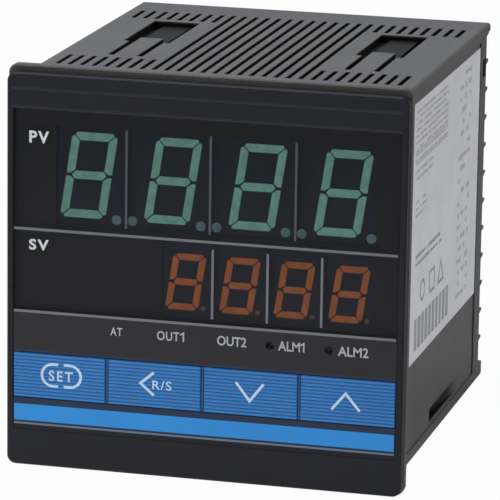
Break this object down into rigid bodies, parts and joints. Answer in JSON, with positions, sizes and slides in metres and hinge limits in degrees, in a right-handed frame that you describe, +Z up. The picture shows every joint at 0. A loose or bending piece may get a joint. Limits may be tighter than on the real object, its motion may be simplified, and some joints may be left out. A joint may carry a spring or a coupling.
{
  "type": "pid temperature controller",
  "caption": "Square panel-mounted PID temperature controller: flanged vented case, draw-out chassis, smoked window with process and set value digits, keys, barrier terminals at the back.",
  "frame": {"origin": "centre of the panel cut-out, in the plane where the back of the bezel seats on the panel", "axes": "+X to the viewer's right, +Y into the panel along the case, +Z up"},
  "size_m": [0.096, 0.1046, 0.096],
  "materials": {
    "case_plastic": "fine-textured moulded plastic",
    "frame_plastic": "fine satin moulded plastic",
    "block_plastic": "satin moulded plastic",
    "window": "smoked, satin face",
    "display_dark": "dark display face",
    "pv_green": "unlit green bars",
    "sv_orange": "unlit orange bars",
    "lamp": "unlit lamp",
    "key_blue": "ribbed blue key face",
    "strip_blue": "light blue film",
    "silver_film": "satin silver film",
    "label_paper": "satin label film",
    "plunger_plastic": "moulded",
    "switch_body": "moulded",
    "board": "solder-masked board",
    "steel": "zinc-plated",
    "brass": "tinned",
    "lamination": "laminated iron",
    "coil": "taped winding",
    "capacitor": "sleeved can",
    "relay": "relay case",
    "chip": "moulded chip",
    "header": "moulded header",
    "socket": "moulded socket"
  },
  "bodies": {
    "case": {"case_shell": "case_plastic", "side_label": "label_paper", "terminal_block": "block_plastic", "terminal_plates": "brass", "clamp_washers": "steel", "terminal_screws": "steel", "left_edge_socket": "socket", "right_edge_socket": "socket"},
    "chassis": {"front_frame": "frame_plastic", "display_window": "window", "name_strip": "strip_blue", "trim_line": "silver_film", "display_board": "board", "frame_screws": "steel", "pv_display": "display_dark", "pv_segments": "pv_green", "pv_points": "pv_green", "sv_display": "display_dark", "sv_segments": "sv_orange", "sv_points": "sv_orange", "status_lamps": "lamp", "key_switches": "switch_body", "processor_board": "board", "power_board": "board", "board_headers": "header", "board_spacers": "header", "controller_chip": "chip", "output_relays": "relay", "transformer_core": "lamination", "transformer_coil": "coil", "smoothing_capacitors": "capacitor"},
    "key_set_body": {"key_set": "key_blue", "plunger_set": "plunger_plastic"},
    "key_shift_body": {"key_shift": "key_blue", "plunger_shift": "plunger_plastic"},
    "key_down_body": {"key_down": "key_blue", "plunger_down": "plunger_plastic"},
    "key_up_body": {"key_up": "key_blue", "plunger_up": "plunger_plastic"}
  },
  "joints": [
    {"name": "chassis_slide", "type": "slide", "parent": "case", "child": "chassis", "axis": [0, -1, 0], "range_m": [0, 0.076]},
    {"name": "key_set_press", "type": "slide", "parent": "chassis", "child": "key_set_body", "axis": [0, 1, 0], "range_m": [0, 0.0006], "stiffness_N_per_m": 2500},
    {"name": "key_shift_press", "type": "slide", "parent": "chassis", "child": "key_shift_body", "axis": [0, 1, 0], "range_m": [0, 0.0006], "stiffness_N_per_m": 2500},
    {"name": "key_down_press", "type": "slide", "parent": "chassis", "child": "key_down_body", "axis": [0, 1, 0], "range_m": [0, 0.0006], "stiffness_N_per_m": 2500},
    {"name": "key_up_press", "type": "slide", "parent": "chassis", "child": "key_up_body", "axis": [0, 1, 0], "range_m": [0, 0.0006], "stiffness_N_per_m": 2500}
  ]
}
